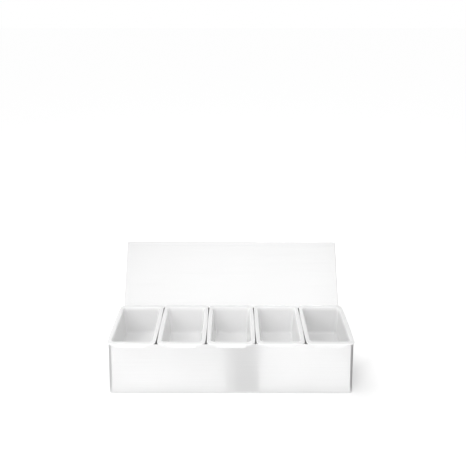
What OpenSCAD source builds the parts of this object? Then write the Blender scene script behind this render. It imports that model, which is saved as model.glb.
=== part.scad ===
// Bar condiment caddy: a stainless steel box that holds five lift-out plastic inserts
// above a space for ice, with one sheet steel lid on a continuous hinge along its back.
// X runs along the box, Y from its front to its back and Z up. The origin is in the middle
// of the underside, on the surface that the box stands on. The lid is drawn standing open.

/* [Box] */
// Outside width of the box
box_w = 457; // [380:1:520]
// Outside depth of the box
box_d = 150; // [120:1:175]
// Height of the top of the walls above the table
box_h = 100; // [75:1:115]
// Thickness of the sheet steel
sheet_t = 0.9; // [0.7:0.1:1.2]
// Outside radius of the upright bends at the corners
corner_r = 6; // [4:0.5:10]
// Width of the sheet that is folded flat against itself along an edge
hem_w = 9; // [6:0.5:12]
// Slit inside a folded edge
hem_slit = 0.2; // [0.1:0.05:0.4]
// Length of the flat returns of the wrap behind the rear corners
return_w = 14; // [10:1:20]
// Height of the lower edges of the walls above the table
wall_lift = 1; // [0.3:0.1:1.5]

/* [Base pan] */
// Height of the flange turned up inside the walls
flange_h = 11; // [8:1:16]
// Outside radius of the bend between the bottom and its flange
flange_bend_r = 1.6; // [1.4:0.1:2.4]
// Width of the flat border that the box stands on
border_w = 14; // [10:1:20]
// Height of the raised middle of the bottom
raise_h = 1.2; // [0.8:0.1:2]
// Corner radius of the raised middle
raise_r = 12; // [8:1:20]

/* [Inserts] */
// How far the outer inserts' rims stand past the ends of the box
side_overhang = 3.3; // [3:0.1:5]
// Gap between the rear finger tabs and the rivets of the closed lid
tab_gap = 0.4; // [0.3:0.1:0.6]
// Gap between two neighbouring rims where they are widest
rim_gap = 0.4; // [0.3:0.1:1.5]
// How far each long side of a rim bows outwards between its corners
rim_bow = 1.2; // [0:0.1:2]
// Corner radius of the rim
rim_corner_r = 9; // [7:0.5:12]
// Width of the rim along each side, from its edge to the wall of the tub
rim_side_w = 8.7; // [7:0.1:10]
// Width of the rim across each end, from its edge to the wall of the tub
rim_end_w = 10.4; // [9:0.1:15]
// Thickness of the rim between the tub and its edge
rim_t = 1.6; // [1.2:0.1:1.8]
// Height of the rim's edge along the sides
edge_h = 2; // [1.9:0.1:2.6]
// Radius on the rim's outer top edge
rim_edge_r = 0.7; // [0.5:0.1:1.4]
// Radius where the rim turns down into the tub
mouth_r = 2; // [1.5:0.1:3]
// Height of the rim's edge across the ends, where it hangs outside the walls
skirt_h = 3; // [2.7:0.1:4]
// Thickness of the rim's turned-down edge
skirt_t = 1.6; // [1.2:0.1:1.6]
// Depth of the tub inside
tub_depth = 54; // [40:1:65]
// Thickness of the tub's walls and floor
tub_t = 1.6; // [1.2:0.1:1.8]
// How far each wall leans in from mouth to floor
tub_draft = 5.6; // [3:0.1:8]
// Radius of the upright corners inside the tub
tub_corner_r = 6; // [4:0.5:12]
// Radius between the walls and the floor inside the tub
tub_floor_r = 5; // [4:0.5:8]
// Distance of the finger tab's root from the corners of the rim
tab_margin = 4.2; // [2:0.1:8]
// How far each side of the finger tab runs in from its root to its lower edge
tab_slope = 4; // [2:0.1:6]
// How far the finger tab reaches below the skirt
tab_h = 5; // [4:0.5:8]
// Radius of the finger tab's lower corners
tab_corner_r = 4; // [2:0.5:4]
// How far the finger tab leans out at its lower edge
tab_flare = 0.3; // [0:0.1:0.5]
// Gap under the edges of the rims, above the walls
seat_gap = 0.2; // [0.1:0.05:0.3]

/* [Lid] */
// Angle that the lid turns from closed to its stop
open_angle = 120; // [100:1:130]
// How far the front edge of the closed lid stands past the front wall
lid_overhang = 1; // [0:0.5:3]
// Gap between the closed lid's hems and the rims
lid_gap = 0.4; // [0.3:0.1:1]
// Outside radius of the bend between the lid and its skirt
lid_bend_r = 2.4; // [1.5:0.1:4]
// Length left plain between the side hems and that bend
hem_relief = 4; // [2:0.5:8]
// Gap along the mitred corners of the hems
mitre_gap = 0.3; // [0.2:0.1:0.6]
// Gap between the lid's skirt and the hinge leaf at the stop
stop_gap = 0.05; // [0.03:0.01:0.1]

/* [Hinge] */
// Distance of the hinge axis below the top of the walls
hinge_drop = 15.4; // [13:0.1:20]
// Diameter of the hinge pin
pin_d = 3; // [2.6:0.1:4]
// Radial running clearance of the pin
pin_gap = 0.05; // [0.03:0.01:0.08]
// Thickness of the hinge leaves
leaf_t = 0.9; // [0.8:0.1:1.1]
// Height of each leaf from the hinge axis
leaf_h = 14; // [12:0.5:16]
// Number of knuckles, those of the box's leaf and the lid's together
knuckle_count = 13; // [7:2:19]
// Gap between neighbouring knuckles
knuckle_gap = 0.4; // [0.3:0.1:0.8]
// Gap between the knuckles and what they turn past
barrel_gap = 0.3; // [0.25:0.05:0.5]
// Number of rivets in each leaf
rivet_count = 7; // [5:1:9]
// Diameter of the rivets
rivet_d = 3; // [2.4:0.1:3.6]
// Radial clearance of the rivets in their holes
rivet_gap = 0.05; // [0.03:0.01:0.1]
// Distance of the rivets from the hinge axis
rivet_row = 9; // [8:0.5:10]
// Diameter of the rivets' domed heads
rivet_head_d = 5.6; // [5:0.1:6.5]
// Height of the rivets' domed heads
rivet_head_h = 1.2; // [0.8:0.1:1.5]
// Height of the rivets' flat inner heads
rivet_tail_h = 0.5; // [0.4:0.1:0.8]

/* [Hidden] */
$fn = 64;

steel = [0.80, 0.80, 0.81];
hinge_steel = [0.66, 0.66, 0.68];
white_plastic = [0.96, 0.96, 0.95];

insert_count = 5;
// Radius of a folded edge, over the two thicknesses of sheet and the slit between them
fold_r = sheet_t + hem_slit / 2;
front_y = -box_d / 2;
// Outside face of the rear wall, which lies against the inside of the wrap's returns
rear_y = box_d / 2 - sheet_t;
rear_wall_w = box_w - 2 * corner_r;

knuckle_r = pin_d / 2 + pin_gap + leaf_t;
// Distance from the axis to the back of a leaf, which stands a little proud of its knuckles
leaf_back = knuckle_r + barrel_gap;
leaf_front = leaf_back - leaf_t;
leaf_w = rear_wall_w - 2 * return_w - 2;
knuckle_pitch = leaf_w / knuckle_count;
axis_y = rear_y + leaf_back;
axis_z = box_h - hinge_drop;
rivet_xs = [for (i = [0:rivet_count - 1]) (i - (rivet_count - 1) / 2) * leaf_w / rivet_count];

rim_top = box_h + seat_gap + edge_h;
insert_pitch = (box_w + 2 * side_overhang + rim_gap) / insert_count;
rim_hx = (insert_pitch - rim_gap) / 2;
// The rear finger tabs reach back to just short of the rivets of the closed lid
rim_hy = axis_y + leaf_front - rivet_tail_h - tab_gap - tab_flare;
mouth_hx = rim_hx - rim_side_w;
mouth_hy = rim_hy - rim_end_w;

lid_mid_z = rim_top + lid_gap + fold_r;
lid_top_z = lid_mid_z + fold_r;
lid_front_y = front_y - lid_overhang;
skirt_back = leaf_back + sheet_t;
lid_back_y = axis_y + skirt_back;
// At the open angle the lower outer edge of the skirt meets the face of the box's leaf, or of
// the wrap's returns where those stand further out
stop_front = min(leaf_front, axis_y - box_d / 2);
skirt_drop = (skirt_back * cos(open_angle) + stop_front - stop_gap) / sin(open_angle);

// Facets of the inserts: along a corner, a floor radius, a mouth radius, a tab corner and a side
corner_steps = 5;
floor_steps = 4;
mouth_steps = 3;
tab_steps = 3;
side_steps = 6;
// Radius left in the corners of the tub's floor
floor_corner_r = 0.5;

// ---- Shared shapes ----

// Rounded rectangle in the plane
module rounded(w, d, r) {
    square([w - 2 * r, d], center = true);
    square([w, d - 2 * r], center = true);
    for (x = [-1, 1], y = [-1, 1])
        translate([x * (w / 2 - r), y * (d / 2 - r)])
            circle(r);
}

// Carries a profile round a rounded rectangle. The profile's x is its distance from the
// centre of a corner and its y is its height.
module around(w, d, r) {
    for (q = [0:3])
        translate([(q == 0 || q == 3 ? 1 : -1) * (w / 2 - r), (q < 2 ? 1 : -1) * (d / 2 - r), 0])
            rotate([0, 0, 90 * q])
                rotate_extrude(angle = 90)
                    children();
    for (side = [0, 1]) {
        rotate([0, 0, 180 * side])
            translate([w / 2 - r, 0, 0])
                along_y(d - 2 * r)
                    children();
        rotate([0, 0, 180 * side + 90])
            translate([d / 2 - r, 0, 0])
                along_y(w - 2 * r)
                    children();
    }
}

// Extrudes a profile along X, with its x towards the back and its y upwards
module along_x(length) {
    rotate([90, 0, 90])
        linear_extrude(length, center = true)
            children();
}

// Extrudes a profile along Y, with its x along X and its y upwards
module along_y(length) {
    rotate([90, 0, 0])
        linear_extrude(length, center = true)
            children();
}

// Section of a folded edge. The sheet that it belongs to leaves it towards +x, above the slit,
// and the folded strip lies below the slit.
module fold() {
    difference() {
        circle(fold_r);
        circle(hem_slit / 2);
        translate([0, -2 * fold_r])
            square(4 * fold_r);
    }
    translate([0, -fold_r])
        square([hem_w - fold_r, sheet_t]);
}

// Section of the folded top edge of a wall whose outside faces +x
module wall_fold() {
    translate([-fold_r, box_h - fold_r])
        rotate(-90)
            fold();
}

// ---- Box ----

// Front and both ends in one sheet, with its returns behind the rear corners
module body_wrap() {
    color(steel) {
        difference() {
            translate([0, 0, wall_lift])
                linear_extrude(box_h - fold_r - wall_lift)
                    difference() {
                        rounded(box_w, box_d, corner_r);
                        rounded(box_w - 2 * sheet_t, box_d - 2 * sheet_t, corner_r - sheet_t);
                    }
            translate([-rear_wall_w / 2 + return_w, 0, 0])
                cube([rear_wall_w - 2 * return_w, box_d, box_h]);
        }
        translate([0, front_y, 0])
            along_x(box_w - 2 * corner_r)
                mirror([1, 0])
                    wall_fold();
        for (side = [0, 1])
            mirror([side, 0, 0])
                translate([box_w / 2, 0, 0])
                    along_y(box_d - 2 * corner_r)
                        wall_fold();
    }
}

// Bottom with flanges turned up inside the walls and a raised middle
module base_pan() {
    pan_w = box_w - 2 * sheet_t;
    pan_d = box_d - 3 * sheet_t;
    pan_r = corner_r - sheet_t;
    raised_w = pan_w - 2 * (flange_bend_r + border_w);
    raised_d = pan_d - 2 * (flange_bend_r + border_w);
    color(steel)
        translate([0, -sheet_t / 2, 0]) {
            around(pan_w, pan_d, pan_r) {
                flange_section(pan_r);
            }
            linear_extrude(sheet_t)
                difference() {
                    rounded(pan_w - 2 * flange_bend_r, pan_d - 2 * flange_bend_r, pan_r - flange_bend_r);
                    rounded(raised_w, raised_d, raise_r);
                }
            around(raised_w, raised_d, raise_r)
                polygon([[raise_r, 0], [raise_r, sheet_t],
                         [raise_r - raise_h, raise_h + sheet_t], [raise_r - raise_h, raise_h]]);
            translate([0, 0, raise_h])
                linear_extrude(sheet_t)
                    rounded(raised_w - 2 * raise_h, raised_d - 2 * raise_h, raise_r - raise_h);
        }
}

// Section of the pan's bend and flange, whose outside lies at r
module flange_section(r) {
    translate([r - flange_bend_r, flange_bend_r])
        intersection() {
            difference() {
                circle(flange_bend_r);
                circle(flange_bend_r - sheet_t);
            }
            translate([0, -flange_bend_r])
                square(flange_bend_r);
        }
    translate([r - sheet_t, flange_bend_r])
        square([sheet_t, flange_h - flange_bend_r]);
}

// Flat sheet that closes the back, inside the returns of the wrap
module rear_wall() {
    color(steel) {
        difference() {
            translate([-rear_wall_w / 2, rear_y - sheet_t, wall_lift])
                cube([rear_wall_w, sheet_t, box_h - fold_r - wall_lift]);
            translate([0, axis_y, axis_z])
                rotate([180, 0, 0])
                    rivet_holes();
        }
        translate([0, rear_y, 0])
            along_x(rear_wall_w)
                wall_fold();
    }
}

// ---- Hinge ----
// A leaf and its rivets are drawn with the hinge axis along X through the origin and the leaf
// standing up from it, its back towards +Y. The box's leaf is the same turned half round.

// Leaf with every second knuckle, starting from the first (0) or the second (1)
module hinge_leaf(first) {
    far_r = 3;
    root_z = knuckle_r / 2;
    difference() {
        union() {
            translate([0, leaf_back, 0])
                rotate([90, 0, 0])
                    linear_extrude(leaf_t) {
                        translate([-leaf_w / 2, root_z])
                            square([leaf_w, leaf_h - far_r - root_z]);
                        translate([-leaf_w / 2 + far_r, root_z])
                            square([leaf_w - 2 * far_r, leaf_h - root_z]);
                        for (x = [-1, 1])
                            translate([x * (leaf_w / 2 - far_r), leaf_h - far_r])
                                circle(far_r);
                    }
            for (i = [first:2:knuckle_count - 1])
                translate([knuckle_x(i), 0, 0])
                    rotate([0, 90, 0])
                        cylinder(r = knuckle_r, h = knuckle_pitch - knuckle_gap, center = true);
        }
        for (i = [1 - first:2:knuckle_count - 1])
            translate([knuckle_x(i) - (knuckle_pitch + knuckle_gap) / 2, 0, -leaf_back])
                cube([knuckle_pitch + knuckle_gap, 2 * leaf_back, 2 * leaf_back]);
        rotate([0, 90, 0])
            cylinder(r = pin_d / 2 + pin_gap, h = leaf_w + 2, center = true);
        rivet_holes();
    }
}

function knuckle_x(i) = (i - (knuckle_count - 1) / 2) * knuckle_pitch;

// Rivet holes through a leaf and the sheet behind it
module rivet_holes() {
    for (x = rivet_xs)
        translate([x, leaf_front - 1, rivet_row])
            rotate([-90, 0, 0])
                cylinder(r = rivet_d / 2 + rivet_gap, h = leaf_t + sheet_t + 2);
}

// Rivet through a leaf and a sheet, standing on its flat head, with its domed head on top
module rivet() {
    grip = leaf_t + sheet_t;
    dome_r = (pow(rivet_head_d / 2, 2) + pow(rivet_head_h, 2)) / (2 * rivet_head_h);
    translate([0, 0, -rivet_tail_h])
        cylinder(d = rivet_head_d - 1, h = rivet_tail_h);
    cylinder(d = rivet_d, h = grip);
    translate([0, 0, grip])
        rotate_extrude()
            intersection() {
                translate([0, rivet_head_h - dome_r])
                    circle(dome_r);
                square([rivet_head_d, rivet_head_h]);
            }
}

// Leaf on the outside of the rear wall
module hinge_base_leaf() {
    color(hinge_steel)
        on_axis(180)
            hinge_leaf(0);
}

// Leaf on the inside of the lid's skirt
module hinge_lid_leaf() {
    color(hinge_steel)
        on_axis(-open_angle)
            hinge_leaf(1);
}

// Pin through all the knuckles
module hinge_pin() {
    color(steel)
        on_axis(0)
            rotate([0, 90, 0])
                cylinder(d = pin_d, h = leaf_w, center = true);
}

// Rivets through the box's leaf and the rear wall, their domed heads outside
module base_rivets() {
    color(hinge_steel)
        on_axis(180)
            for (x = rivet_xs)
                translate([x, leaf_back + sheet_t, rivet_row])
                    rotate([90, 0, 0])
                        rivet();
}

// Rivets through the lid's leaf and its skirt, their domed heads outside
module lid_rivets() {
    color(hinge_steel)
        on_axis(-open_angle)
            for (x = rivet_xs)
                translate([x, leaf_front, rivet_row])
                    rotate([-90, 0, 0])
                        rivet();
}

// Turns what is drawn round the X axis and puts it on the hinge axis
module on_axis(angle) {
    translate([0, axis_y, axis_z])
        rotate([angle, 0, 0])
            children();
}

// ---- Lid ----

// One sheet: the panel, hemmed at its front and sides, and the skirt behind the hinge
module lid() {
    color(steel)
        on_axis(-open_angle)
            translate([0, -axis_y, -axis_z]) {
                difference() {
                    along_x(box_w - 2 * fold_r)
                        lid_section();
                    translate([0, axis_y, axis_z])
                        rivet_holes();
                }
                front_hem();
                side_hem();
                mirror([1, 0, 0])
                    side_hem();
            }
}

// Section of the closed lid: panel, bend and skirt
module lid_section() {
    panel_y = lid_front_y + fold_r;
    bend_y = lid_back_y - lid_bend_r;
    bend_z = lid_top_z - lid_bend_r;
    skirt_z = axis_z - skirt_drop;
    translate([panel_y, lid_top_z - sheet_t])
        square([bend_y - panel_y, sheet_t]);
    translate([bend_y, bend_z])
        intersection() {
            difference() {
                circle(lid_bend_r);
                circle(lid_bend_r - sheet_t);
            }
            square(lid_bend_r);
        }
    translate([lid_back_y - sheet_t, skirt_z])
        square([sheet_t, bend_z - skirt_z]);
}

// Hem along the front edge, cut at 45 degrees at both ends
module front_hem() {
    cut = mitre_gap / sqrt(2);
    reach = hem_w + 1;
    intersection() {
        translate([0, lid_front_y + fold_r, lid_mid_z])
            along_x(box_w)
                fold();
        translate([0, lid_front_y, lid_mid_z - 2 * fold_r])
            linear_extrude(4 * fold_r)
                polygon([[-box_w / 2 + cut, 0], [box_w / 2 - cut, 0],
                         [box_w / 2 - cut - reach, reach], [-box_w / 2 + cut + reach, reach]]);
    }
}

// Hem along the left edge, cut at 45 degrees at the front
module side_hem() {
    cut = mitre_gap / sqrt(2);
    reach = hem_w + 1;
    length = lid_back_y - lid_bend_r - hem_relief - lid_front_y;
    intersection() {
        translate([-box_w / 2 + fold_r, lid_front_y + length / 2, lid_mid_z])
            along_y(length)
                fold();
        translate([-box_w / 2, lid_front_y, lid_mid_z - 2 * fold_r])
            linear_extrude(4 * fold_r)
                polygon([[0, cut], [reach, cut + reach], [reach, length], [0, length]]);
    }
}

// ---- Inserts ----
// An insert is one closed skin. Rings of points climb the outside of the tub, pass over the
// rim and run down the inside to the floor. Each ring is a rounded rectangle.

// Half the length of the straight end of the rim, along which the tab's places are given
end_half = rim_hx - rim_corner_r;
tip_half = end_half - tab_margin - tab_slope;
// Half of the lower outline of a tab: [distance from its middle, share of its drop]
half_tab = concat([[end_half - tab_margin, 0]],
    [for (i = [0:tab_steps]) let (a = 90 * i / tab_steps)
        [tip_half - tab_corner_r * (1 - cos(a)), 1 - tab_corner_r * (1 - sin(a)) / tab_h]]);
// The points along an end of a ring, from +X to -X
end_points = concat(half_tab, [[0, 1]],
    [for (i = [len(half_tab) - 1:-1:0]) [-half_tab[i][0], half_tab[i][1]]]);

// Share of the skirt at a turn round a corner of the rim, from 0 at the side to 90 degrees at
// the end: all of it where the inside of the skirt stands clear of the wall, and none before
function skirt_share(turn) =
    rim_hy - rim_corner_r + (rim_corner_r - skirt_t) * sin(turn) > box_d / 2 + seat_gap ? 1 : 0;

// The points of a ring are [x, y, share of the tab's drop, share of the skirt's drop].
// Quarter circle of a ring's corner q, anticlockwise from the corner at +X +Y
function corner(hx, hy, r, q) = let (
        sx = q == 0 || q == 3 ? 1 : -1,
        sy = q < 2 ? 1 : -1)
    [for (i = [0:corner_steps]) let (a = 90 * i / corner_steps, turn = 90 * q + a)
        [sx * (hx - r) + r * cos(turn), sy * (hy - r) + r * sin(turn), 0,
         skirt_share(sx == sy ? a : 90 - a)]];

// The end of a ring at +Y (1) or -Y (-1)
function end_run(hx, hy, r, s) =
    [for (p = end_points) [s * p[0] * (hx - r) / end_half, s * hy, p[1], 1]];

// The side of a ring at -X (-1) or +X (1)
function side_run(hx, hy, r, s) =
    [for (i = [1:side_steps - 1]) [s * hx, s * (hy - r) * (2 * i / side_steps - 1), 0, 0]];

// Outline of a ring, anticlockwise: half width, half length, corner radius
function outline(hx, hy, r) = concat(
    corner(hx, hy, r, 0), end_run(hx, hy, r, 1), corner(hx, hy, r, 1), side_run(hx, hy, r, -1),
    corner(hx, hy, r, 2), end_run(hx, hy, r, -1), corner(hx, hy, r, 3), side_run(hx, hy, r, 1));

// Ring at a depth below the rim's top, with its long sides bowed out by bow. At the ends it
// hangs lower by skirt, and at the tabs it also drops by tab and leans out by lean.
function ring(hx, hy, r, depth, bow = 0, skirt = 0, tab = 0, lean = 0) =
    [for (p = outline(hx, hy, r))
        [p[0] * (1 - bow / hx * pow(p[1] / hy, 2)), p[1] + sign(p[1]) * lean * p[2],
         rim_top - depth - tab * p[2] - skirt * p[3]]];

// Ring of the tub's inside at a depth, drawn in by inset, or of its outside with t its wall.
// The corners narrow to floor_corner_r by the floor.
function tub_ring(depth, inset = 0, t = 0) = let (
        lean = tub_draft * min(depth, tub_depth) / tub_depth,
        share = inset / (tub_floor_r + t))
    ring(mouth_hx - lean - inset + t, mouth_hy - lean - inset + t,
         (tub_corner_r + t) * (1 - share) + floor_corner_r * share, depth);

// Ring of the rim at a depth, drawn in by inset
function rim_ring(depth, inset = 0) =
    ring(rim_hx - inset, rim_hy - inset, rim_corner_r - inset, depth, rim_bow);

// Lower edge of the rim, skirts and tabs, drawn in by inset
function lower_ring(inset) =
    ring(rim_hx - inset, rim_hy - inset, rim_corner_r - inset, edge_h, rim_bow,
         skirt_h - edge_h, tab_h, tab_flare);

outer_floor_r = tub_floor_r + tub_t;
insert_rings = concat(
    // Outside of the tub, from its floor up
    [for (i = [floor_steps:-1:0]) let (a = 90 * i / floor_steps)
        tub_ring(tub_depth + tub_t - outer_floor_r * (1 - sin(a)), outer_floor_r * (1 - cos(a)), tub_t)],
    [tub_ring(rim_t, 0, tub_t)],
    // Underside of the rim, skirt and tabs
    [rim_ring(rim_t, skirt_t), lower_ring(skirt_t), lower_ring(0)],
    // Top of the rim
    [for (i = [0:2]) let (a = 45 * i) rim_ring(rim_edge_r * (1 - sin(a)), rim_edge_r * (1 - cos(a)))],
    // Mouth, then the inside down to the floor
    [for (i = [0:mouth_steps]) let (a = 90 * i / mouth_steps)
        tub_ring(mouth_r * (1 - cos(a)), -mouth_r * (1 - sin(a)))],
    [for (i = [0:floor_steps]) let (a = 90 * i / floor_steps)
        tub_ring(tub_depth - tub_floor_r * (1 - sin(a)), tub_floor_r * (1 - cos(a)))]);

// Skin over a list of rings that all have as many points. Each of its two ends is closed by
// triangles round a point on the Z axis.
module skin(rings) {
    n = len(rings[0]);
    last = len(rings) - 1;
    centre = len(rings) * n;
    polyhedron(
        points = concat([for (ring = rings) each ring],
            [for (ring = [rings[0], rings[last]]) [0, 0, ring[0][2]]]),
        faces = concat(
            [for (i = [0:n - 1]) [i, (i + 1) % n, centre]],
            [for (i = [0:n - 1]) [last * n + (i + 1) % n, last * n + i, centre + 1]],
            [for (j = [0:last - 1], i = [0:n - 1]) let (a = j * n + i, b = j * n + (i + 1) % n)
                each [[a, a + n, b + n], [a, b + n, b]]]));
}

// Moulded insert number n, counted from the left
module insert(n) {
    color(white_plastic)
        translate([(n - (insert_count + 1) / 2) * insert_pitch, 0, 0])
            skin(insert_rings);
}

body_wrap();
base_pan();
rear_wall();
hinge_base_leaf();
hinge_pin();
base_rivets();
lid();
hinge_lid_leaf();
lid_rivets();
insert(1);  // insert_1
insert(2);  // insert_2
insert(3);  // insert_3
insert(4);  // insert_4
insert(5);  // insert_5
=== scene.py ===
"""Looks of a bar condiment caddy: a brushed steel box with five lift-out inserts and a hinged lid.

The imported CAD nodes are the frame. The sheet metal keeps its CAD meshes and gets its finishes here.
The moulded inserts are built again as finer surfaces that stand for their CAD nodes.
"""

from __future__ import annotations

import logging
import math
from collections.abc import Sequence
from dataclasses import dataclass, field
from enum import Enum
from typing import Any

import bpy
import numpy as np
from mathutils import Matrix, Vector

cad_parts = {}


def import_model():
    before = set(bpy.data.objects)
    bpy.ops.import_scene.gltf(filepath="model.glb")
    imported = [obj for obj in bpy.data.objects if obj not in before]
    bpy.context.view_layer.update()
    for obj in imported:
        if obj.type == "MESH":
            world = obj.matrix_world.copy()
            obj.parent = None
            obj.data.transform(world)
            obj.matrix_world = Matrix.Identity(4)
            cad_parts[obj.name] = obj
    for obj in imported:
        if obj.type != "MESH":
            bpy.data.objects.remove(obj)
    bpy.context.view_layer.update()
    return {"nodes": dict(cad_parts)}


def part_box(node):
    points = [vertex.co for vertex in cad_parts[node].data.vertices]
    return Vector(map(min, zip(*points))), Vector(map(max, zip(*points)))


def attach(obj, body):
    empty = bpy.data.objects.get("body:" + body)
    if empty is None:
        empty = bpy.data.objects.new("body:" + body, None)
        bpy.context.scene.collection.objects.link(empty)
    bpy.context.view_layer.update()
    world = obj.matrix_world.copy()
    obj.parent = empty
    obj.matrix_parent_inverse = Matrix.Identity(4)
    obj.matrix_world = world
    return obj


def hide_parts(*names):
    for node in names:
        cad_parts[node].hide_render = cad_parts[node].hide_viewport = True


LOG = logging.getLogger("caddy")
MM = 0.001
Color = tuple[float, float, float]
Point = tuple[float, float, float]
WHITE = (1, 1, 1, 1)
NOISE_MEAN = 0.5


# ---------------------------------------------------------------- shader graph


class Wire:
    """An output socket that takes part in shader maths through Python's operators."""

    def __init__(
        self, graph: "Graph", node: bpy.types.Node, socket: bpy.types.NodeSocket | None
    ) -> None:
        """Wraps a socket.

        Args:
            graph: The graph that new Math nodes go into.
            node: The node that the socket belongs to.
            socket: The output socket, or None for a node that has none.
        """
        self.graph = graph
        self.node = node
        self.socket = socket

    def out(self, name: str | int) -> "Wire":
        """Returns another output of the same node."""
        return Wire(self.graph, self.node, self.node.outputs[name])

    def _math(self, operation: str, *values: "Wire | float") -> "Wire":
        """Adds a Math node over the given values."""
        return self.graph.node("ShaderNodeMath", {"operation": operation}, dict(enumerate(values)))

    def __add__(self, other: "Wire | float") -> "Wire":
        """Sum."""
        return self._math("ADD", self, other)

    __radd__ = __add__

    def __sub__(self, other: "Wire | float") -> "Wire":
        """Difference."""
        return self._math("SUBTRACT", self, other)

    def __rsub__(self, other: "Wire | float") -> "Wire":
        """Difference from a number."""
        return self._math("SUBTRACT", other, self)

    def __mul__(self, other: "Wire | float") -> "Wire":
        """Product."""
        return self._math("MULTIPLY", self, other)

    __rmul__ = __mul__

    def power(self, exponent: float) -> "Wire":
        """This value to a power."""
        return self._math("POWER", self, exponent)

    def sign(self) -> "Wire":
        """Minus one, zero or one, as this value's sign."""
        return self._math("SIGN", self)

    def at_least(self, other: "Wire | float") -> "Wire":
        """The larger of two values."""
        return self._math("MAXIMUM", self, other)

    def spread(self, low: float, high: float) -> "Wire":
        """Maps low..high of this value to 0..1 with a smooth, clamped step.

        Args:
            low: The value that becomes 0.
            high: The value that becomes 1.

        Returns:
            The mapped value.
        """
        settings = {"interpolation_type": "SMOOTHSTEP"}
        return self.graph.node("ShaderNodeMapRange", settings, {0: self, 1: low, 2: high})


class Graph:
    """The node tree of one material or of the world."""

    def __init__(self, owner: bpy.types.Material | bpy.types.World) -> None:
        """Takes a material's or the world's tree and empties it.

        Args:
            owner: What the tree belongs to.
        """
        owner.use_nodes = True
        self.tree = owner.node_tree
        self.world = isinstance(owner, bpy.types.World)
        self.tree.nodes.clear()

    def node(
        self,
        kind: str,
        settings: dict[str, Any] | None = None,
        sockets: dict[str | int, Any] | None = None,
        output: str | int = 0,
    ) -> Wire:
        """Adds a node, sets its settings first and then its sockets.

        Args:
            kind: The node's type.
            settings: Its properties.
            sockets: Values or Wires for its input sockets, by name or index.
            output: The output to return.

        Returns:
            The chosen output, or a Wire without a socket for a node that has none.
        """
        made = self.tree.nodes.new(kind)
        for name, value in (settings or {}).items():
            setattr(made, name, value)
        for name, value in (sockets or {}).items():
            if isinstance(value, Wire):
                self.tree.links.new(value.socket, made.inputs[name])
            else:
                made.inputs[name].default_value = value
        return Wire(self, made, made.outputs[output] if made.outputs else None)

    def place(self) -> Wire:
        """Returns the object coordinates in metres as a vector."""
        return self.node("ShaderNodeTexCoord", output="Object")

    def position(self) -> tuple[Wire, Wire, Wire]:
        """Returns the object coordinates X, Y and Z in metres."""
        split = self.node("ShaderNodeSeparateXYZ", sockets={0: self.place()})
        return split.out("X"), split.out("Y"), split.out("Z")

    def vector(self, x: Wire | float, y: Wire | float, z: Wire | float) -> Wire:
        """Joins three values into a vector."""
        return self.node("ShaderNodeCombineXYZ", sockets={0: x, 1: y, 2: z})

    def noise(self, where: Wire, scale: float, detail: float = 2.0, roughness: float = 0.5) -> Wire:
        """Adds a noise texture.

        Args:
            where: The coordinates that it is read at.
            scale: How many lumps there are to a unit of them.
            detail: Number of octaves.
            roughness: How strong the finer octaves are.

        Returns:
            The noise, from 0 to 1 with a mean of about a half.
        """
        sockets = {"Vector": where, "Scale": scale, "Detail": detail, "Roughness": roughness}
        return self.node("ShaderNodeTexNoise", {"noise_dimensions": "3D"}, sockets, "Fac")

    def tint(self, amount: Wire, low: Color, high: Color) -> Wire:
        """Mixes two colours by an amount from 0 to 1."""
        sockets = {0: amount, 6: (*low, 1.0), 7: (*high, 1.0)}
        return self.node("ShaderNodeMix", {"data_type": "RGBA"}, sockets, 2)

    def bump(self, height: Wire, depth: float) -> Wire:
        """Turns a height from 0 to 1, which stands for 0 to depth in metres, into a normal."""
        sockets = {"Strength": 1.0, "Distance": depth, "Height": height}
        return self.node("ShaderNodeBump", sockets=sockets)

    def surface(self, shader: Wire) -> None:
        """Ends the tree in a shader."""
        kind = "World" if self.world else "Material"
        self.node(f"ShaderNodeOutput{kind}", sockets={"Surface": shader})

    def principled(self, sockets: dict[str | int, Any]) -> None:
        """Ends the tree in a Principled shader with the given sockets."""
        self.surface(self.node("ShaderNodeBsdfPrincipled", sockets=sockets))

    def emission(self, strength: Wire) -> Wire:
        """Adds a shader that gives off white light."""
        return self.node("ShaderNodeEmission", sockets={"Strength": strength})


def surface_material(name: str) -> tuple[bpy.types.Material, Graph]:
    """Makes an empty node material.

    Args:
        name: Its name.

    Returns:
        The material and its graph.
    """
    material = bpy.data.materials.new(name)
    return material, Graph(material)


def scaled(color: Color, factor: float) -> Color:
    """Makes a colour lighter or darker by a factor, up to white."""
    return tuple(min(c * factor, 1.0) for c in color)


# ---------------------------------------------------------------- objects


def linked(name: str, data: bpy.types.ID) -> bpy.types.Object:
    """Makes an object and puts it in the scene.

    Args:
        name: Its name.
        data: Its mesh, lamp or camera.

    Returns:
        The object.
    """
    made = bpy.data.objects.new(name, data)
    bpy.context.scene.collection.objects.link(made)
    return made


def flat_mesh(name: str, corners: Sequence[Point]) -> bpy.types.Object:
    """Makes one flat polygon.

    Args:
        name: The object's name.
        corners: Its corners in order.

    Returns:
        The object.
    """
    mesh = bpy.data.meshes.new(name)
    mesh.from_pydata(corners, [], [tuple(range(len(corners)))])
    return linked(name, mesh)


def dress(piece: bpy.types.Object, material: bpy.types.Material) -> None:
    """Puts one material on every slot of a piece.

    Args:
        piece: The piece.
        material: Its finish.
    """
    if not piece.material_slots:
        piece.data.materials.append(material)
    for slot in piece.material_slots:
        slot.material = material


def mirrored_only(piece: bpy.types.Object, paint: bpy.types.Material) -> bpy.types.Object:
    """Paints a piece and hides it from everything but reflections.

    Args:
        piece: The piece.
        paint: Its material.

    Returns:
        The same piece.
    """
    dress(piece, paint)
    piece.visible_camera = False
    piece.visible_diffuse = False
    piece.visible_shadow = False
    piece.visible_transmission = False
    return piece


# ---------------------------------------------------------------- finishes


class Grain(Enum):
    """How the brushed lines run over a sheet."""

    ROUND = "along the front and round both ends"
    LENGTH = "along the length"


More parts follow.
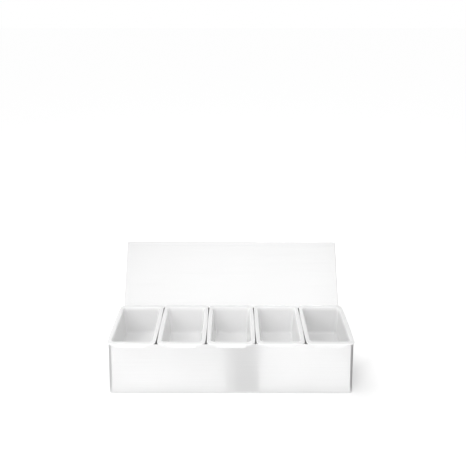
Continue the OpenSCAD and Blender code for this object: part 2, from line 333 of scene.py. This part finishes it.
@dataclass(frozen=True)
class BrushedSteel:
    """Stainless sheet with fine, straight brushed lines."""

    name: str
    color: Color
    roughness: float
    grain: Grain
    anisotropy: float = 0.0
    # A quarter turn lays the highlight across the grain
    anisotropic_turn: float = 0.25
    front_y: float = 0.0
    # Lines to a metre across and along the grain
    lines_across: float = 2400.0
    lines_along: float = 9.0
    # Broader lines among them: their number as a share of the fine ones', and their strength
    broad_scale: float = 0.22
    broad_share: float = 0.25
    line_depth: float = 0.02 * MM
    # How far the tone goes up and down, and the part of the lines' range that it goes over
    tone: float = 0.04
    tone_range: tuple[float, float] = (0.2, 0.8)
    # How much the roughness varies with the lines, and with soft clouds of so many to a metre
    line_wear: float = 0.16
    cloud_wear: float = 0.08
    clouds: float = 9.0

    def _flow(self, graph: Graph) -> Wire:
        """Stretches the object coordinates along the grain.

        Args:
            graph: The finish's graph.

        Returns:
            Coordinates for the noise that draws the lines.
        """
        x, y, z = graph.position()
        if self.grain is Grain.ROUND:
            along = x + x.sign() * (y - self.front_y)
            return graph.vector(along * self.lines_along, 0.0, z * self.lines_across)
        return graph.vector(x * self.lines_along, y * self.lines_across, z * self.lines_across)

    def material(self) -> bpy.types.Material:
        """Builds the finish, whose tone, gloss and height all follow the same brushed lines.

        Returns:
            The material.
        """
        material, graph = surface_material(self.name)
        flow = self._flow(graph)
        fine = graph.noise(flow, 1.0, detail=3.0, roughness=0.6)
        broad = graph.noise(flow, self.broad_scale)
        lines = fine * (1.0 - self.broad_share) + broad * self.broad_share
        cloud = graph.noise(graph.place(), self.clouds)
        wear = (lines - NOISE_MEAN) * self.line_wear + (cloud - NOISE_MEAN) * self.cloud_wear
        dark, light = (scaled(self.color, 1.0 + change) for change in (-self.tone, self.tone))
        graph.principled({
            "Base Color": graph.tint(lines.spread(*self.tone_range), dark, light),
            "Metallic": 1.0,
            "Roughness": wear + self.roughness,
            "Anisotropic": self.anisotropy,
            "Anisotropic Rotation": self.anisotropic_turn,
            "Normal": graph.bump(lines, self.line_depth),
        })
        return material


@dataclass(frozen=True)
class MilledSteel:
    """Plain steel of small hardware, dull from rolling, with faint mottling."""

    name: str
    color: Color
    roughness: float
    # Fine mottles and broad worn patches to a metre, and what each does to the roughness
    mottles: float = 900.0
    patches: float = 60.0
    mottle_wear: float = 0.1
    patch_wear: float = 0.2
    mottle_depth: float = 0.01 * MM
    # Share of the colour that the darkest of them keep
    darkest: float = 0.86

    def material(self) -> bpy.types.Material:
        """Builds the finish. Both noises share in its tone and its gloss.

        Returns:
            The material.
        """
        material, graph = surface_material(self.name)
        place = graph.place()
        mottle = graph.noise(place, self.mottles, detail=3.0)
        worn = graph.noise(place, self.patches)
        wear = (worn - NOISE_MEAN) * self.patch_wear + (mottle - NOISE_MEAN) * self.mottle_wear
        dark = scaled(self.color, self.darkest)
        graph.principled({
            "Base Color": graph.tint(mottle * 0.5 + worn * 0.5, dark, self.color),
            "Metallic": 1.0,
            "Roughness": wear + self.roughness,
            "Normal": graph.bump(mottle, self.mottle_depth),
        })
        return material


@dataclass(frozen=True)
class MouldedPlastic:
    """White moulded plastic, smooth with a faint orange peel and a little handling wear, with painted
    shade deep in its tubs.
    """

    name: str
    color: Color
    roughness: float
    # Height of the rims' top and their half length
    rim_top: float
    rim_hy: float
    # Share of the colour that the most shaded plastic keeps, and how far painted shade takes the tubs
    # towards it: all of them, and further the end ones, which no neighbour lights through its thin
    # walls
    painted_shade_share: float = 0.83
    inside: float = 0.45
    ends: float = 0.38
    # Distances from the middle of the row between which the end tubs' share comes in
    end_reach: tuple[float, float] = (0.13, 0.2)
    # Depths below the rims' top between which it ends, and distances in from the rims' ends
    # between which the tabs begin: they hang as low as the shaded part of the tubs, but outside
    depth_reach: tuple[float, float] = (9 * MM, 2 * MM)
    tab_reach: tuple[float, float] = (5 * MM, 4 * MM)
    # Orange peel and patches of handling wear to a metre
    peels: float = 420.0
    peel_depth: float = 0.02 * MM
    patches: float = 26.0
    # What the patches do to the roughness and to the tone, and the part of their range that counts
    patch_wear: float = 0.14
    patch_tone: float = 0.08
    patch_range: tuple[float, float] = (0.3, 0.7)
    ior: float = 1.5
    # Share of the light that goes into the plastic, and how far it goes
    scatter: float = 0.3
    scatter_reach: float = 3 * MM

    def _painted_shade(self, graph: Graph) -> Wire:
        """Works out how much painted shade the plastic has.

        Args:
            graph: The finish's graph.

        Returns:
            0 on the rims and tabs, inside in the tubs, and up to ends more in the end ones.
        """
        x, y, z = graph.position()
        tabs = (y * y.sign()).spread(*(self.rim_hy - inset for inset in self.tab_reach))
        above = z.spread(*(self.rim_top - depth for depth in self.depth_reach)).at_least(tabs)
        towards_end = (x * x.sign()).spread(*self.end_reach)
        return (1.0 - above) * (towards_end * self.ends + self.inside)

    def material(self) -> bpy.types.Material:
        """Builds the finish. Its tone and gloss follow the same patches, and its height the peel; its
        colour also holds the painted shade.

        Returns:
            The material.
        """
        material, graph = surface_material(self.name)
        place = graph.place()
        peel = graph.noise(place, self.peels, detail=1.0)
        haze = graph.noise(place, self.patches, detail=3.0, roughness=0.55)
        # Painted shade: the colour darkens deep in the tubs and more in the end ones, besides the
        # real patches of handling wear
        unshaded_unworn = 1.0 - self._painted_shade(graph) - haze.spread(*self.patch_range) * self.patch_tone
        graph.principled({
            "Base Color": graph.tint(unshaded_unworn, scaled(self.color, self.painted_shade_share), self.color),
            "Roughness": (haze - NOISE_MEAN) * self.patch_wear + self.roughness,
            "IOR": self.ior,
            "Subsurface Weight": self.scatter,
            "Subsurface Radius": (1.0, 1.0, 1.0),
            "Subsurface Scale": self.scatter_reach,
            "Normal": graph.bump(peel, self.peel_depth),
        })
        return material


# ---------------------------------------------------------------- box, lid and hinge


@dataclass
class SteelBody:
    """The sheet metal and the hinge hardware, which keep their CAD meshes."""

    nodes: dict[str, bpy.types.Object]
    sheet_color: Color = (0.975, 0.975, 0.975)
    hardware_color: Color = (0.62, 0.62, 0.63)
    # Roughness of each finish: the wrap's is wide along its grain only, and the lid is polished
    wrap_roughness: float = 0.42
    wrap_anisotropy: float = 0.92
    lid_roughness: float = 0.22
    sheet_roughness: float = 0.38
    hardware_roughness: float = 0.34

    def _finishes(self) -> list[tuple[BrushedSteel | MilledSteel, tuple[str, ...]]]:
        """Makes the finishes.

        Returns:
            Each finish with the nodes that have it.
        """
        wrap = BrushedSteel(
            "wrap_steel", self.sheet_color, self.wrap_roughness, Grain.ROUND,
            anisotropy=self.wrap_anisotropy, front_y=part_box("body_wrap")[0].y,
        )
        lid = BrushedSteel("lid_steel", self.sheet_color, self.lid_roughness, Grain.LENGTH)
        sheet = BrushedSteel("sheet_steel", self.sheet_color, self.sheet_roughness, Grain.LENGTH)
        milled = MilledSteel("hinge_steel", self.hardware_color, self.hardware_roughness)
        leaves = ("hinge_base_leaf", "hinge_lid_leaf", "hinge_pin", "base_rivets", "lid_rivets")
        return [
            (wrap, ("body_wrap",)),
            (lid, ("lid",)),
            (sheet, ("rear_wall", "base_pan")),
            (milled, leaves),
        ]

    def build(self) -> list[str]:
        """Dresses every metal node.

        Returns:
            The names of the dressed nodes.
        """
        dressed = []
        for finish, names in self._finishes():
            material = finish.material()
            for name in names:
                dress(self.nodes[name], material)
                dressed.append(name)
        return dressed


# ---------------------------------------------------------------- inserts


@dataclass
class Insert:
    """A moulded insert: a drafted tub with a rim all round, turned-down edges and two finger tabs.

    The surface is a stack of rings. Each ring is a rounded rectangle of half width hx, half length
    hy and corner radius r, so a point of it is its share of the way to a corner's centre, times
    that centre, plus its unit direction times r.
    """

    node: str
    rim_side_w: float = 8.7 * MM
    rim_end_w: float = 10.4 * MM
    rim_corner_r: float = 9.0 * MM
    rim_bow: float = 1.2 * MM
    rim_t: float = 1.6 * MM
    rim_edge_r: float = 0.7 * MM
    edge_h: float = 2.0 * MM
    skirt_h: float = 3.0 * MM
    skirt_t: float = 1.6 * MM
    mouth_r: float = 2.0 * MM
    tub_t: float = 1.6 * MM
    tub_draft: float = 5.6 * MM
    tub_corner_r: float = 6.0 * MM
    tub_floor_r: float = 5.0 * MM
    floor_corner_r: float = 0.5 * MM
    tab_h: float = 5.0 * MM
    tab_flare: float = 0.3 * MM
    tab_margin: float = 4.2 * MM
    tab_slope: float = 4.0 * MM
    tab_corner_r: float = 4.0 * MM
    # Radius left on the edges of the moulding
    soft_r: float = 0.4 * MM
    # Turn round a corner at which the skirt starts and is at its full depth
    skirt_start: float = math.radians(54)
    skirt_full: float = math.radians(72)
    # Steps along a ring: round a corner, along a side, down a tab's slope, round its corner and
    # from there to its middle
    corner_steps: int = 14
    side_steps: int = 22
    slope_steps: int = 3
    tab_steps: int = 8
    middle_steps: int = 5
    # Steps round the section: the wide fillets, the softened edges and the rim's outer top edge
    fillet_steps: int = 8
    soft_steps: int = 3
    edge_steps: int = 6
    # Rings on the straight walls, as shares of their height from the top down
    outside_shares: tuple[float, ...] = (0.66, 0.33)
    inside_shares: tuple[float, ...] = (0.25, 0.5, 0.75)
    centre_x: float = field(init=False)
    rim_hx: float = field(init=False)
    rim_hy: float = field(init=False)
    rim_top: float = field(init=False)
    tub_depth: float = field(init=False)
    mouth_hx: float = field(init=False)
    mouth_hy: float = field(init=False)
    across: np.ndarray = field(init=False)
    turn: np.ndarray = field(init=False)
    tab: np.ndarray = field(init=False)
    skirt: np.ndarray = field(init=False)

    def __post_init__(self) -> None:
        """Takes the overall size and place from the frame and lays out the points of a ring."""
        low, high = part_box(self.node)
        self.centre_x = (low.x + high.x) / 2
        self.rim_hx = (high.x - low.x) / 2
        self.rim_hy = high.y - self.tab_flare
        self.rim_top = high.z
        self.tub_depth = high.z - low.z - self.tub_t
        self.mouth_hx = self.rim_hx - self.rim_side_w
        self.mouth_hy = self.rim_hy - self.rim_end_w
        self._lay_out()

    def _end(self) -> tuple[np.ndarray, np.ndarray]:
        """Works out the points along an end.

        Each half runs from the tab's root down its straight slope, round its corner, which is a
        quarter circle, and to its middle. The other half mirrors it.

        Returns:
            Each point's share of the way to the corners, and its share of the tab's drop.
        """
        end_half = self.rim_hx - self.rim_corner_r
        root = end_half - self.tab_margin
        tip = root - self.tab_slope
        turn = np.linspace(0, math.pi / 2, self.tab_steps + 1)
        x = tip - self.tab_corner_r * (1 - np.cos(turn))
        drop = 1 - self.tab_corner_r * (1 - np.sin(turn)) / self.tab_h
        # The slope is split, because a long straight facet beside short ones shades unevenly
        part = np.linspace(0, 1, self.slope_steps + 1)[:-1]
        x = np.concatenate([root + (x[0] - root) * part, x])
        drop = np.concatenate([drop[0] * part, drop])
        middle = np.linspace(x[-1], 0, self.middle_steps + 1)[1:]
        x = np.concatenate([x, middle])
        drop = np.concatenate([drop, np.ones_like(middle)])
        x = np.concatenate([x, -x[-2::-1]])
        drop = np.concatenate([drop, drop[-2::-1]])
        return x / end_half, drop

    def _lay_out(self) -> None:
        """Fills across, turn, tab and skirt, anticlockwise from the corner at +X +Y.

        At a corner, across is the corner's signs, turn the direction from its centre, and skirt a
        smooth step, 3 t squared less 2 t cubed, of the angle between skirt_start and skirt_full.
        Along a side or an end, across runs evenly from corner to corner and turn is its normal.
        """
        share, drop = self._end()
        steps = np.linspace(0, math.pi / 2, self.corner_steps + 1)
        sides = np.linspace(-1, 1, self.side_steps + 1)[1:-1]
        across, turn, tab, skirt = [], [], [], []
        for quarter in range(4):
            sx = 1 if quarter in (0, 3) else -1
            sy = 1 if quarter < 2 else -1
            angle = quarter * math.pi / 2 + steps
            # Angle from the side, whichever way round the corner runs
            from_side = steps if sx == sy else math.pi / 2 - steps
            rise = (from_side - self.skirt_start) / (self.skirt_full - self.skirt_start)
            rise = np.clip(rise, 0, 1)
            across.append(np.stack([np.full_like(steps, sx), np.full_like(steps, sy)], -1))
            turn.append(np.stack([np.cos(angle), np.sin(angle)], -1))
            tab.append(np.zeros_like(steps))
            skirt.append(rise * rise * (3 - 2 * rise))
            if quarter in (0, 2):
                across.append(np.stack([sy * share, np.full_like(share, sy)], -1))
                turn.append(np.stack([np.zeros_like(share), np.full_like(share, sy)], -1))
                tab.append(drop)
                skirt.append(np.ones_like(share))
            else:
                across.append(np.stack([np.full_like(sides, sx), -sy * sides], -1))
                turn.append(np.stack([np.full_like(sides, sx), np.zeros_like(sides)], -1))
                tab.append(np.zeros_like(sides))
                skirt.append(np.zeros_like(sides))
        self.across = np.concatenate(across)
        self.turn = np.concatenate(turn)
        self.tab = np.concatenate(tab)
        self.skirt = np.concatenate(skirt)

    def _ring(
        self, hx: float, hy: float, r: float, depth: float, bow: float = 0.0, low: float = 0.0
    ) -> np.ndarray:
        """Works out one ring.

        A point is the corner's centre times its share, plus r times its direction. Its x shrinks by
        the bow times the square of y over hy. Its z falls by the skirt's and the tab's drops times
        low, and the tab leans out with its drop.

        Args:
            hx: Half width.
            hy: Half length.
            r: Corner radius.
            depth: Depth below the top of the rim.
            bow: How far the sides stand out at their middle.
            low: 1 on the lower edge, whose ends hang down, and 0 elsewhere.

        Returns:
            The ring's points, one to a row.
        """
        centre = np.array([hx - r, hy - r])
        flat = self.across * centre + self.turn * r
        x = flat[:, 0] * (1 - bow / hx * (flat[:, 1] / hy) ** 2)
        y = flat[:, 1] + np.sign(flat[:, 1]) * self.tab_flare * self.tab * low
        drop = (self.skirt_h - self.edge_h) * self.skirt + self.tab_h * self.tab
        z = self.rim_top - depth - drop * low
        return np.stack([x + self.centre_x, y, z], -1)

    def _rim(self, depth: float, inset: float = 0.0, low: float = 0.0) -> np.ndarray:
        """A ring of the rim, drawn in by inset."""
        hx, hy, r = self.rim_hx - inset, self.rim_hy - inset, self.rim_corner_r - inset
        return self._ring(hx, hy, r, depth, self.rim_bow, low)

    def _tub(self, depth: float, inset: float = 0.0, wall: float = 0.0) -> np.ndarray:
        """Works out a ring of the tub.

        Args:
            depth: Depth below the top of the rim. The walls lean in with it.
            inset: How far the ring is drawn in. Its corners sharpen with it towards the floor's.
            wall: 0 for the inside, and the wall's thickness for the outside.

        Returns:
            The ring's points.
        """
        lean = self.tub_draft * min(depth, self.tub_depth) / self.tub_depth
        share = inset / (self.tub_floor_r + wall)
        radius = (self.tub_corner_r + wall) * (1 - share) + self.floor_corner_r * share
        hx = self.mouth_hx - lean - inset + wall
        hy = self.mouth_hy - lean - inset + wall
        return self._ring(hx, hy, radius, depth)

    @staticmethod
    def _arc(steps: int) -> list[tuple[float, float]]:
        """Lists 1 - sin, which falls from 1 to 0, and 1 - cos, which rises, over a quarter turn."""
        return [(1 - math.sin(a), 1 - math.cos(a)) for a in np.linspace(0, math.pi / 2, steps + 1)]

    def _outside(self) -> list[np.ndarray]:
        """Lists the rings from the underside up to the rim and round its turned-down edge.

        On a rounding of radius r, a ring lies r times the fall and r times the rise from the two
        flats that the rounding joins.

        Returns:
            The rings in order.
        """
        soft = self._arc(self.soft_steps)
        foot_r = self.tub_floor_r + self.tub_t
        edge_r = self.soft_r / 2
        rings = []
        for fall, rise in self._arc(self.fillet_steps)[::-1]:
            depth = self.tub_depth + self.tub_t - foot_r * fall
            rings.append(self._tub(depth, foot_r * rise, self.tub_t))
        for share in self.outside_shares:
            depth = self.rim_t + (self.tub_depth - foot_r) * share
            rings.append(self._tub(depth, 0.0, self.tub_t))
        # Fillet under the rim, then the turned-down edge: its root, its inner and its outer corner
        for fall, rise in soft:
            depth = self.rim_t + self.soft_r * fall
            rings.append(self._tub(depth, -self.soft_r * rise, self.tub_t))
        for fall, rise in soft:
            rings.append(self._rim(self.rim_t + edge_r * rise, self.skirt_t + edge_r * fall))
        for fall, rise in soft:
            depth = self.edge_h - edge_r * fall
            rings.append(self._rim(depth, self.skirt_t - edge_r * rise, 1.0))
        for fall, rise in soft:
            rings.append(self._rim(self.edge_h - self.soft_r * rise, self.soft_r * fall, 1.0))
        return rings

    def _inside(self) -> list[np.ndarray]:
        """Lists the rings from the rim's outer top edge over the mouth and down to the floor.

        Returns:
            The rings in order.
        """
        fillet = self._arc(self.fillet_steps)
        straight = self.tub_depth - self.tub_floor_r - self.mouth_r
        rings = []
        for fall, rise in self._arc(self.edge_steps):
            rings.append(self._rim(self.rim_edge_r * fall, self.rim_edge_r * rise))
        for fall, rise in fillet:
            rings.append(self._tub(self.mouth_r * rise, -self.mouth_r * fall))
        for share in self.inside_shares:
            rings.append(self._tub(self.mouth_r + straight * share))
        for fall, rise in fillet:
            depth = self.tub_depth - self.tub_floor_r * fall
            rings.append(self._tub(depth, self.tub_floor_r * rise))
        return rings

    def build(self) -> bpy.types.Object:
        """Builds the insert's skin.

        Neighbouring points of neighbouring rings make the quads, and a fan of triangles closes the
        floor and the underside.

        Returns:
            The finished piece.
        """
        rings = self._outside() + self._inside()
        count = len(rings[0])
        points = np.concatenate([*rings, rings[0].mean(0)[None], rings[-1].mean(0)[None]])
        start = np.arange(len(rings) - 1)[:, None] * count
        here = np.arange(count)[None]
        there = (here + 1) % count
        above = start + count
        walls = np.stack([start + here, start + there, above + there, above + here], -1)
        last = (len(rings) - 1) * count
        under = np.stack([there[0], here[0], np.full(count, len(points) - 2)], -1)
        floor = np.stack([last + here[0], last + there[0], np.full(count, len(points) - 1)], -1)
        faces = walls.reshape(-1, 4).tolist() + under.tolist() + floor.tolist()
        mesh = bpy.data.meshes.new(self.node + "_moulding")
        mesh.from_pydata(points.tolist(), [], faces)
        mesh.polygons.foreach_set("use_smooth", np.ones(len(mesh.polygons), bool))
        mesh.update()
        return linked(self.node + "_moulding", mesh)


# ---------------------------------------------------------------- stage


@dataclass(frozen=True)
class Softbox:
    """A square lamp that looks at the middle of the box, and that reflections don't show."""

    name: str
    place: Point
    size: float
    power: float
    aim_height: float = 0.1

    def build(self) -> None:
        """Makes the lamp, tilted from straight down and then turned so that it looks at the box."""
        data = bpy.data.lights.new(self.name, "AREA")
        data.energy = self.power
        data.size = self.size
        lamp = linked(self.name, data)
        x, y, z = self.place
        tilt = math.atan2(math.hypot(x, y), z - self.aim_height)
        lamp.location = self.place
        lamp.rotation_euler = (tilt, 0, math.atan2(x, -y))
        lamp.visible_glossy = False


@dataclass(frozen=True)
class Card:
    """A flat, glowing card that only reflections see."""

    name: str
    # One for all of it, or one for each corner
    greys: tuple[float, ...]
    corners: tuple[Point, ...]

    def build(self, paint: bpy.types.Material) -> bpy.types.Object:
        """Makes the card.

        Args:
            paint: A material that glows with the attribute "grey".

        Returns:
            The card.
        """
        card = flat_mesh(self.name, self.corners)
        greys = self.greys if len(self.greys) > 1 else self.greys * len(self.corners)
        shade = card.data.attributes.new("grey", "FLOAT", "POINT")
        shade.data.foreach_set("value", greys)
        return mirrored_only(card, paint)


# The sides of the cards on the floor in front meet at the camera's mirror image
CARDS = (
    Card("card_front", (0.5,), (
        (0.0, -1.06, 0.0), (0.1, -1.06, 0.0), (0.1, -1.06, 0.56), (0.0, -1.06, 0.56),
    )),
    Card("card_strip", (0.78,), (
        (0.008, -0.076, 0.004), (0.051, -0.076, 0.004), (0.094, -1.06, 0.004),
        (0.009, -1.06, 0.004),
    )),
    Card("card_wide", (0.9,), (
        (-0.01, -0.076, 0.003), (0.054, -0.076, 0.003), (0.1, -1.06, 0.003),
        (-0.024, -1.06, 0.003),
    )),
    Card("card_haze", (1.18, 0.99, 0.99, 1.18), (
        (-0.23, -0.15, 0.002), (-0.011, -0.15, 0.002), (-0.024, -1.06, 0.002),
        (-0.403, -1.06, 0.002),
    )),
    Card("card_left", (0.7,), (
        (-1.1, -0.6, 0.0), (-1.1, 1.6, 0.0), (-1.1, 1.6, 0.9), (-1.1, -0.6, 0.9),
    )),
    Card("card_right", (0.42,), (
        (1.1, -0.6, 0.0), (1.1, 1.6, 0.0), (1.1, 1.6, 0.9), (1.1, -0.6, 0.9),
    )),
    Card("card_right_floor", (0.28,), (
        (0.232, -0.076, 0.003), (0.4, -0.6, 0.003), (1.1, -0.6, 0.003), (1.1, 0.9, 0.003),
        (0.232, 0.9, 0.003),
    )),
    Card("card_left_floor", (0.6,), (
        (-0.232, 0.9, 0.003), (-1.1, 0.9, 0.003), (-1.1, -0.6, 0.003), (-0.4, -0.6, 0.003),
        (-0.232, -0.076, 0.003),
    )),
    Card("card_overhead", (14.0,), (
        (0.1, -0.2, 1.4), (0.5, -0.2, 1.4), (0.5, -0.06, 1.4), (0.1, -0.06, 1.4),
    )),
)


@dataclass
class Stage:
    """Pale floor, soft lamps, cards and a ceiling that only reflections see, and the camera."""

    # Camera: place and clipping distances in metres, pitch in degrees, sensor width and focal
    # length in millimetres, and lens shift
    camera_place: Point = (0.00497, -1.1309, 0.7036)
    clip: tuple[float, float] = (0.05, 200)
    pitch: float = 10.5
    sensor: float = 36
    lens: float = 47.82
    shift: tuple[float, float] = (-0.0013, -0.2248)
    # Strength of the plain light from all round, and of the white that is seen in its place
    ambient: float = 0.51
    backdrop: float = 1.0
    softboxes: tuple[Softbox, ...] = (
        Softbox("key_left", (-1.1, -0.1, 1.2), 0.6, 5.5),
        Softbox("fill_front", (-0.25, -1.3, 0.35), 0.8, 6.7),
        Softbox("fill_top", (-0.05, -0.5, 1.3), 0.5, 4.0),
    )
    cards: tuple[Card, ...] = CARDS
    floor_color: Color = (0.86, 0.86, 0.86)
    floor_half: float = 30
    # Light that the floor adds where it is seen: at the box's foot, further out, and how far from
    # the foot it takes to come up. Behind shadow_back it is away from the foot.
    glow_near: float = 0.23
    glow: float = 0.55
    glow_reach: float = 0.13
    shadow_back: float = -0.02
    # Light that it adds where it is mirrored, ahead of the box's front and between its ends
    gloss: float = 0.42
    gloss_ahead: tuple[float, float] = (-0.02, 0.06)
    gloss_beside: tuple[float, float] = (0.25, 0.4)
    # Ceiling: its corners, its grey at the spot ahead of the camera, how much of that it loses, and
    # between which distances from the spot
    ceiling_corners: tuple[Point, ...] = ((-4, 3, 1.5), (4, 3, 1.5), (4, -4, 1.5), (-4, -4, 1.5))
    ceiling_grey: float = 1.045
    ceiling_loss: float = 0.26
    ceiling_reach: tuple[float, float] = (0.65, 1.35)
    spot_y: float = -2.2

    def camera(self) -> None:
        """Makes the camera and sets it as the scene's."""
        data = bpy.data.cameras.new("camera")
        data.sensor_width = self.sensor
        data.lens = self.lens
        data.shift_x, data.shift_y = self.shift
        data.clip_start, data.clip_end = self.clip
        camera = linked("camera", data)
        camera.location = self.camera_place
        camera.rotation_euler = (math.radians(90 - self.pitch), 0, 0)
        bpy.context.scene.camera = camera

    def _shown(self, graph: Graph) -> Wire:
        """Tells the rays that see the world from those that light the object.

        Args:
            graph: The world's graph.

        Returns:
            1 for camera, glossy and transmission rays, and 0 for the others.
        """
        path = graph.node("ShaderNodeLightPath")
        camera, glossy = path.out("Is Camera Ray"), path.out("Is Glossy Ray")
        return camera.at_least(glossy).at_least(path.out("Is Transmission Ray"))

    def world(self) -> None:
        """Makes the world: white where it is seen or mirrored, and a plain soft light elsewhere."""
        world = bpy.data.worlds.new("world")
        bpy.context.scene.world = world
        graph = Graph(world)
        light = graph.node("ShaderNodeBackground", sockets={0: WHITE, 1: self.ambient})
        white = graph.node("ShaderNodeBackground", sockets={0: WHITE, 1: self.backdrop})
        sockets = {0: self._shown(graph), 1: light, 2: white}
        graph.surface(graph.node("ShaderNodeMixShader", sockets=sockets))

    def floor(self) -> bpy.types.Object:
        """Makes the floor, which keeps the shadow round the box and shows white further out.

        The distance from the foot is the larger of the distances past its ends, past its front and
        behind shadow_back.

        Returns:
            The floor.
        """
        half = self.floor_half
        corners = [(-half, -half, 0), (half, -half, 0), (half, half, 0), (-half, half, 0)]
        floor = flat_mesh("floor", corners)
        material, graph = surface_material("pale_floor")
        diffuse = graph.node("ShaderNodeBsdfDiffuse", sockets={"Color": (*self.floor_color, 1.0)})
        path = graph.node("ShaderNodeLightPath")
        mirrored = path.out("Is Glossy Ray").at_least(path.out("Is Transmission Ray"))
        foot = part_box("body_wrap")[1]
        x, y, _ = graph.position()
        ahead = -foot.y - y
        aside = x * x.sign()
        away = (aside - foot.x).at_least(ahead).at_least(y - self.shadow_back)
        seen = away.spread(0.0, self.glow_reach) * (self.glow - self.glow_near) + self.glow_near
        between = 1.0 - aside.spread(*self.gloss_beside)
        mirror = ahead.spread(*self.gloss_ahead) * between * self.gloss
        glow = graph.emission(path.out("Is Camera Ray") * seen + mirrored * mirror)
        graph.surface(graph.node("ShaderNodeAddShader", sockets={0: diffuse, 1: glow}))
        dress(floor, material)
        return floor

    def build_cards(self) -> list[bpy.types.Object]:
        """Makes the cards, which share a paint that glows with their grey.

        Returns:
            The cards.
        """
        paint, graph = surface_material("card_paint")
        grey = graph.node("ShaderNodeAttribute", {"attribute_name": "grey"}, output="Fac")
        graph.surface(graph.emission(grey))
        return [card.build(paint) for card in self.cards]

    def ceiling(self) -> bpy.types.Object:
        """Makes the ceiling that only reflections see.

        It is white at a spot ahead of the camera, and its grey falls with the distance from there.

        Returns:
            The ceiling.
        """
        material, graph = surface_material("ceiling_white")
        x, y, _ = graph.position()
        ahead = y - self.spot_y
        away = (x * x + ahead * ahead).power(0.5)
        grey = self.ceiling_grey - away.spread(*self.ceiling_reach) * self.ceiling_loss
        graph.surface(graph.emission(grey))
        return mirrored_only(flat_mesh("ceiling", self.ceiling_corners), material)

    def build(self) -> None:
        """Sets up the whole stage."""
        scene = bpy.context.scene
        scene.view_settings.view_transform = "Standard"
        self.camera()
        self.world()
        for softbox in self.softboxes:
            softbox.build()
        self.floor()
        self.ceiling()
        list(self.build_cards())


def main() -> None:
    """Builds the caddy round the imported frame."""
    logging.basicConfig(level=logging.INFO, format="%(name)s: %(message)s")
    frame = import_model()
    Stage().build()
    for name in SteelBody(frame["nodes"]).build():
        LOG.info("dressed %s", name)
    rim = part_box("insert_1")[1]
    finish = MouldedPlastic(
        "white_plastic", (0.96, 0.96, 0.96), roughness=0.2, rim_top=rim.z, rim_hy=rim.y
    )
    plastic = finish.material()
    for name in sorted(n for n in frame["nodes"] if n.startswith("insert_")):
        piece = Insert(name).build()
        dress(piece, plastic)
        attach(piece, name)
        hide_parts(name)
        LOG.info("built %s", piece.name)


if __name__ == "__main__":
    main()
